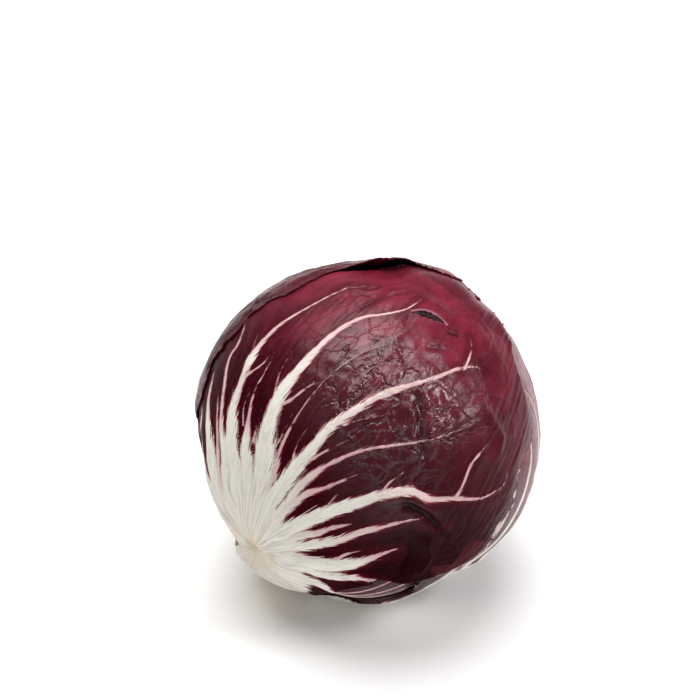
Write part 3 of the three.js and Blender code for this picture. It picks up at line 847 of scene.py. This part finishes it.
# The heart: leaf edges in low steps round it, slanting, each a rise and a short fall; and the stem's recess
HEART_GRID = (220, 130)
HEART_LEAF_ANGLE, HEART_SLANT, HEART_STEP, HEART_RISE = 60, 40, 1.1, 0.85
HEART_BUMP_RADIUS, HEART_BUMPS, HEART_BUMP_HEIGHT = 55, 9, 0.2  # where they are worked out, length and height
HEART_RECESS, RECESS_CLEAR = (14.6, 13.4), 0.3
STEM_SEGMENTS = 96
FLOOR_HALF = 4  # metres


def build_leaf(leaf, order, material):
    piece = grid_object(leaf["name"] + "_skin", leaf["grid"])
    mesh = piece.data
    flat = read_points(mesh)
    points, values = leaf_surface(leaf, order, flat[:, 0], (flat[:, 1] + 1) / 2)
    write_points(mesh, to_world(points))
    face_outward(mesh, Vector((0, 0, REST_HEIGHT / 1000)))
    for name in LEAF_VALUES:
        store(mesh, name, values[name])
    wall = piece.modifiers.new("blade", "SOLIDIFY")
    wall.thickness = BLADE_SHARE * BLADE / 1000
    wall.offset = -1
    dress(piece, leaf["name"], material)


def build_heart():
    """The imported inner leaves: a closed ball with their overlapping edges in steps, and the stem's recess."""
    bm = bmesh.new()
    bmesh.ops.create_uvsphere(bm, u_segments=HEART_GRID[0], v_segments=HEART_GRID[1], radius=1)
    piece = new_piece("heart_packed_leaves", bm)
    d = read_points(piece.data)
    d /= np.linalg.norm(d, axis=1)[:, None]
    theta = theta_of(d)
    turn = ((phi_of(d) + HEART_SLANT * np.sin(np.radians(theta * 1.5))) / HEART_LEAF_ANGLE) % 1
    step = HEART_STEP * (np.minimum(turn / HEART_RISE, (1 - turn) / (1 - HEART_RISE)) - 1)
    bumps = HEART_BUMP_HEIGHT * noise(d * HEART_BUMP_RADIUS, HEART_BUMPS, 5)
    radius = body_radius(d) - GAP + (step + bumps - 0.3) * smooth(20, 60, theta)
    points = d * radius[:, None]
    points[:, 2] += smooth(*HEART_RECESS, theta) * (RECESS_CLEAR - STEM_INNER - points[:, 2])
    write_points(piece.data, to_world(points))
    # Packed leaf edges: dark, dull and mottled, seen only in the gaps between the outer leaves
    material = plain_skin("packed inner leaves", ("#2a020e", "#5a1028"), 9, 0.5)
    dress(piece, "heart_leaves", material)


def build_stem():
    """The cut stem: a short stub with a rounded edge and a slightly hollow, browned cut."""
    profile = [  # out from the middle, and up from the cut
        (0, 0.5), (STEM_RADIUS - 4, 0.35), (STEM_RADIUS - 1.6, 0.2), (STEM_RADIUS - 0.5, 0.9),
        (STEM_RADIUS, 2.4), (STEM_RADIUS - 0.3, STEM_CUT - STEM_INNER), (0, STEM_CUT - STEM_INNER)]
    bm = bmesh.new()
    verts = [bm.verts.new((out, 0, up - STEM_CUT)) for out, up in profile]
    edges = [bm.edges.new(pair) for pair in zip(verts[:-1], verts[1:])]
    bmesh.ops.spin(bm, geom=verts + edges, cent=(0, 0, 0), axis=(0, 0, 1), angle=2 * np.pi,
                   steps=STEM_SEGMENTS, use_merge=True)
    bmesh.ops.remove_doubles(bm, verts=bm.verts, dist=0.001)
    bmesh.ops.recalc_face_normals(bm, faces=bm.faces)
    piece = new_piece("cut_stem", bm)
    write_points(piece.data, to_world(read_points(piece.data)))
    # Cut stem flesh: matt, cream and browned in small spots where it has dried
    dress(piece, "stem", plain_skin("cut stem flesh", ("#e4dac0", "#b99a6e"), 3, 0.65))


def build_floor():
    """Matt white board, slightly lit from within so that its far part stays white."""
    material, tree = new_material("pale studio floor")
    skin = add_node(tree, "ShaderNodeBsdfPrincipled", {
        "Base Color": "#fafafa", "Roughness": 0.9, "Emission Color": "#ffffff", "Emission Strength": 0.05})
    add_node(tree, "ShaderNodeOutputMaterial", {"Surface": skin.outputs[0]})
    floor = grid_object("studio_floor", (1, 1))
    write_points(floor.data, read_points(floor.data) * FLOOR_HALF)
    floor.data.materials.append(material)


# The lights, in metres: name, place, diameter, power
LIGHTS = [
    ("overhead", (-0.12, 0.28, 1.25), 1.4, 17.5),
    ("right_fill", (0.86, -0.26, 0.84), 0.4, 5),
    ("left_fill", (-0.8, -0.9, 0.6), 0.9, 1.0),
]
LIGHT_AIM = (0, 0, 0.05)
WORLD_LIGHT = 0.25


def build_light():
    world = bpy.data.worlds.new("studio")
    bpy.context.scene.world = world
    world.use_nodes = True
    background = world.node_tree.nodes["Background"]
    background.inputs["Color"].default_value = linear("#ffffff")
    background.inputs["Strength"].default_value = WORLD_LIGHT
    for name, place, size, power in LIGHTS:
        light = bpy.data.lights.new(name, "AREA")
        light.shape = "DISK"
        light.size = size
        light.energy = power
        lamp = bpy.data.objects.new(name, light)
        bpy.context.collection.objects.link(lamp)
        lamp.location = place
        lamp.rotation_euler = (Vector(LIGHT_AIM) - Vector(place)).to_track_quat("-Z", "Y").to_euler()


# The camera, from the photograph: its pixels, and the real size of the head in it
SENSOR = 36
PHOTO_SIZE = 700
HEAD_PIXEL = (370, 431)  # the middle of the head
HEAD_PIXEL_RADIUS = 174.5
CAMERA_HEIGHT_ANGLE = 35.0  # how steeply the camera looks down on the middle of the head
CAMERA_DISTANCE = 600.0
OUTER_RADIUS = 57.5


def build_camera():
    """A camera that looks past the middle of the head, so that the head lies low and right in the picture."""
    limb = np.arcsin(OUTER_RADIUS / CAMERA_DISTANCE)
    pixels_per_unit = HEAD_PIXEL_RADIUS / np.tan(limb)
    across = np.arctan((HEAD_PIXEL[0] - PHOTO_SIZE / 2) / pixels_per_unit)
    below = np.arctan((HEAD_PIXEL[1] - PHOTO_SIZE / 2) / pixels_per_unit)
    data = bpy.data.cameras.new("photo_camera")
    data.sensor_width = SENSOR
    data.lens = SENSOR * pixels_per_unit / PHOTO_SIZE
    camera = bpy.data.objects.new("photo_camera", data)
    bpy.context.collection.objects.link(camera)
    steep = np.radians(CAMERA_HEIGHT_ANGLE)
    camera.rotation_euler = (np.pi / 2 - steep + below, 0, across / np.cos(steep))
    camera.location = (0, -CAMERA_DISTANCE / 1000 * np.cos(steep),
                       (REST_HEIGHT + CAMERA_DISTANCE * np.sin(steep)) / 1000)
    bpy.context.scene.camera = camera


build_camera()
build_light()
build_floor()
build_stem()
build_heart()
outer_skin = leaf_skin("waxy red leaf")
for number, leaf in enumerate(LEAVES):
    build_leaf(leaf, number, outer_skin)

bpy.context.scene.view_settings.view_transform = "Standard"
bpy.context.scene.view_settings.look = "Medium High Contrast"
